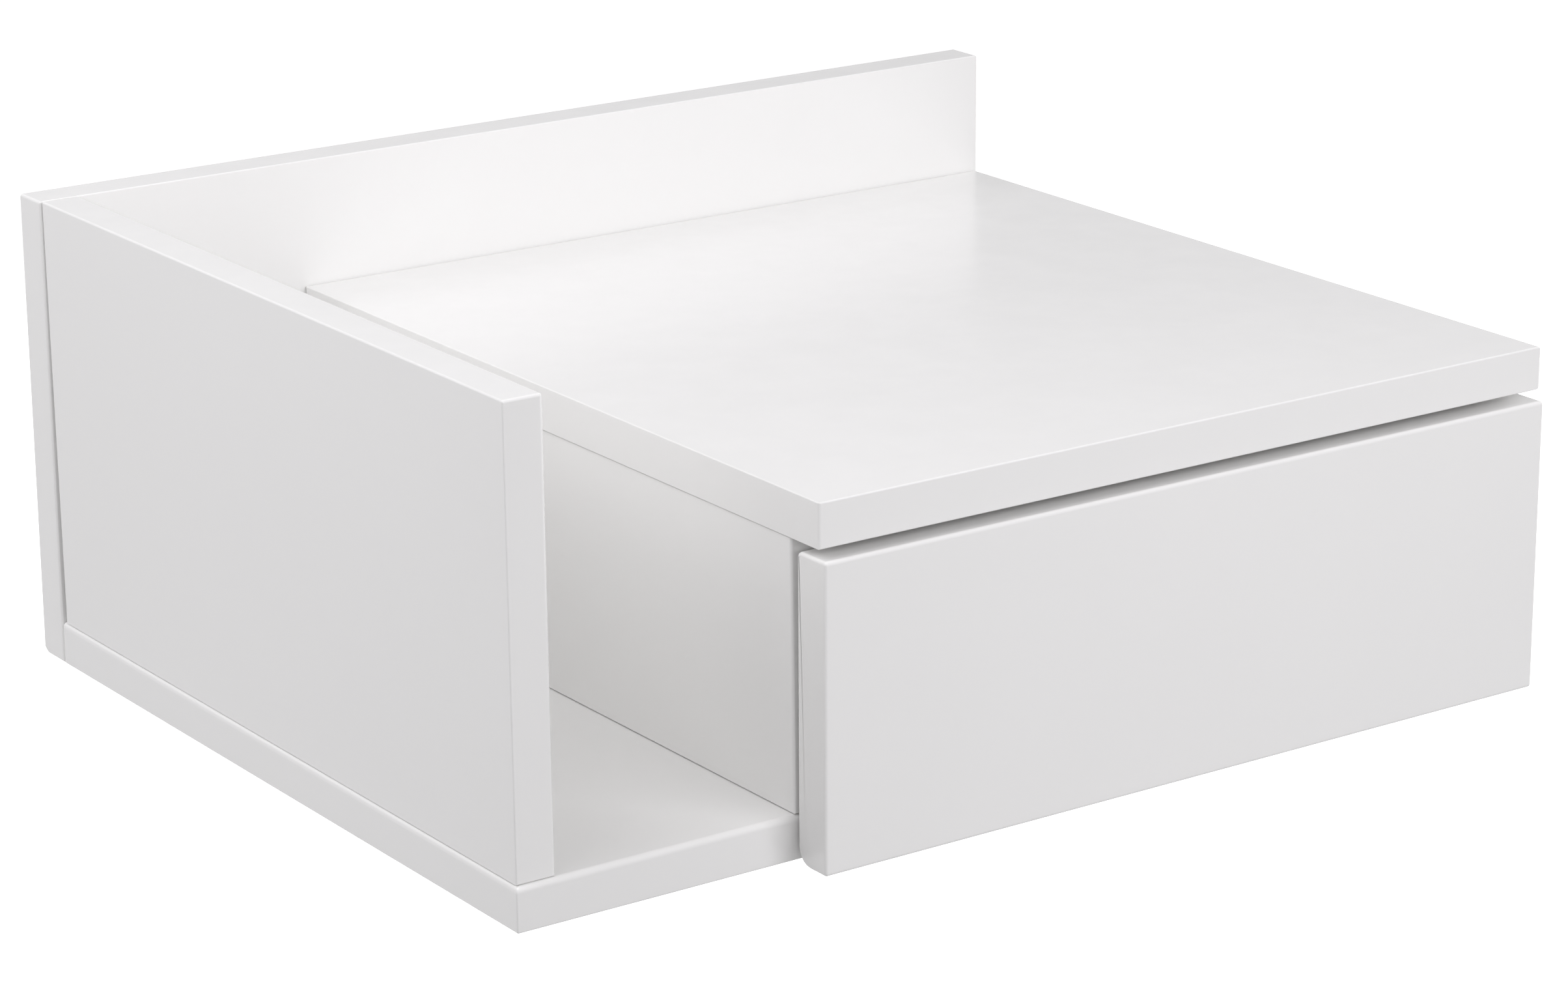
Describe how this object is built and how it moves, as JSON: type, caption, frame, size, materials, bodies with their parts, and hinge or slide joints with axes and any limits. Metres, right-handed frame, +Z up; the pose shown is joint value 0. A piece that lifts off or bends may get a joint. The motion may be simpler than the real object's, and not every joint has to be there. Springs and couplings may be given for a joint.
{
  "type": "floating nightstand",
  "caption": "Wall-hung white nightstand with an open nook beside a handleless drawer on roller runners, under an overhanging top with a raised back rim.",
  "frame": {"origin": "middle of the back board's rear face, which lies flat on the wall", "axes": "+Z up, +X to the right of someone facing the drawer, +Y into the wall"},
  "size_m": [0.4, 0.3323, 0.1665],
  "materials": {
    "white_lacquer": "satin white lacquer on fibreboard",
    "white_foil": "matt white foil on fibreboard",
    "enamelled_steel": "white epoxy coat",
    "nylon": "natural white nylon",
    "zinc_steel": "bright zinc plate",
    "die_cast_zinc": "raw die casting",
    "beech": "unfinished beech",
    "clear_silicone": "clear, smooth"
  },
  "bodies": {
    "carcase": {"back_board": "white_lacquer", "bottom_board": "white_lacquer", "left_side": "white_lacquer", "divider": "white_lacquer", "right_side": "white_lacquer", "top_board": "white_lacquer", "cabinet_runner_left": "enamelled_steel", "cabinet_runner_right": "enamelled_steel", "front_axle_left": "zinc_steel", "front_axle_right": "zinc_steel", "hanger_plate_left": "zinc_steel", "hanger_plate_right": "zinc_steel", "bottom_screw_1": "zinc_steel", "bottom_screw_2": "zinc_steel", "bottom_screw_3": "zinc_steel", "bottom_screw_4": "zinc_steel", "bottom_screw_5": "zinc_steel", "bottom_screw_6": "zinc_steel", "rear_screw_1": "zinc_steel", "rear_screw_2": "zinc_steel", "rear_screw_3": "zinc_steel", "rear_screw_4": "zinc_steel", "rear_screw_5": "zinc_steel", "rear_screw_6": "zinc_steel", "rear_screw_7": "zinc_steel", "rear_screw_8": "zinc_steel", "rear_screw_9": "zinc_steel", "rear_screw_10": "zinc_steel", "cam_bolt_1": "zinc_steel", "cam_bolt_2": "zinc_steel", "cam_bolt_3": "zinc_steel", "cam_bolt_4": "zinc_steel", "cam_lock_1": "die_cast_zinc", "cam_lock_2": "die_cast_zinc", "cam_lock_3": "die_cast_zinc", "cam_lock_4": "die_cast_zinc"},
    "drawer": {"drawer_front": "white_lacquer", "drawer_side_left": "white_foil", "drawer_side_right": "white_foil", "drawer_back": "white_foil", "drawer_floor": "white_foil", "drawer_runner_left": "enamelled_steel", "drawer_runner_right": "enamelled_steel", "rear_axle_left": "zinc_steel", "rear_axle_right": "zinc_steel", "bumper_left": "clear_silicone", "bumper_right": "clear_silicone", "drawer_dowel_1": "beech", "drawer_dowel_2": "beech", "drawer_dowel_3": "beech", "drawer_dowel_4": "beech", "drawer_screw_1": "zinc_steel", "drawer_screw_2": "zinc_steel", "drawer_screw_3": "zinc_steel", "drawer_screw_4": "zinc_steel"},
    "front_roller_left": {"front_roller_left": "nylon"},
    "front_roller_right": {"front_roller_right": "nylon"},
    "rear_roller_left": {"rear_roller_left": "nylon"},
    "rear_roller_right": {"rear_roller_right": "nylon"}
  },
  "joints": [
    {"name": "drawer_slide", "type": "slide", "parent": "carcase", "child": "drawer", "axis": [0, -1, 0], "range_m": [0, 0.19]},
    {"name": "front_roller_left_spin", "type": "hinge", "parent": "carcase", "child": "front_roller_left", "pos_m": [-0.0775, -0.3013, -0.054], "axis": [1, 0, 0], "continuous": true},
    {"name": "front_roller_right_spin", "type": "hinge", "parent": "carcase", "child": "front_roller_right", "pos_m": [0.1795, -0.3013, -0.054], "axis": [1, 0, 0], "continuous": true},
    {"name": "rear_roller_left_spin", "type": "hinge", "parent": "drawer", "child": "rear_roller_left", "pos_m": [-0.0775, -0.0787, -0.054], "axis": [1, 0, 0], "continuous": true},
    {"name": "rear_roller_right_spin", "type": "hinge", "parent": "drawer", "child": "rear_roller_right", "pos_m": [0.1795, -0.0787, -0.054], "axis": [1, 0, 0], "continuous": true}
  ],
  "couplings": [
    {"joint": "front_roller_left_spin", "follows": "drawer_slide", "rad_per_m": 117.65},
    {"joint": "front_roller_right_spin", "follows": "drawer_slide", "rad_per_m": 117.65},
    {"joint": "rear_roller_left_spin", "follows": "drawer_slide", "rad_per_m": 117.65},
    {"joint": "rear_roller_right_spin", "follows": "drawer_slide", "rad_per_m": 117.65}
  ]
}
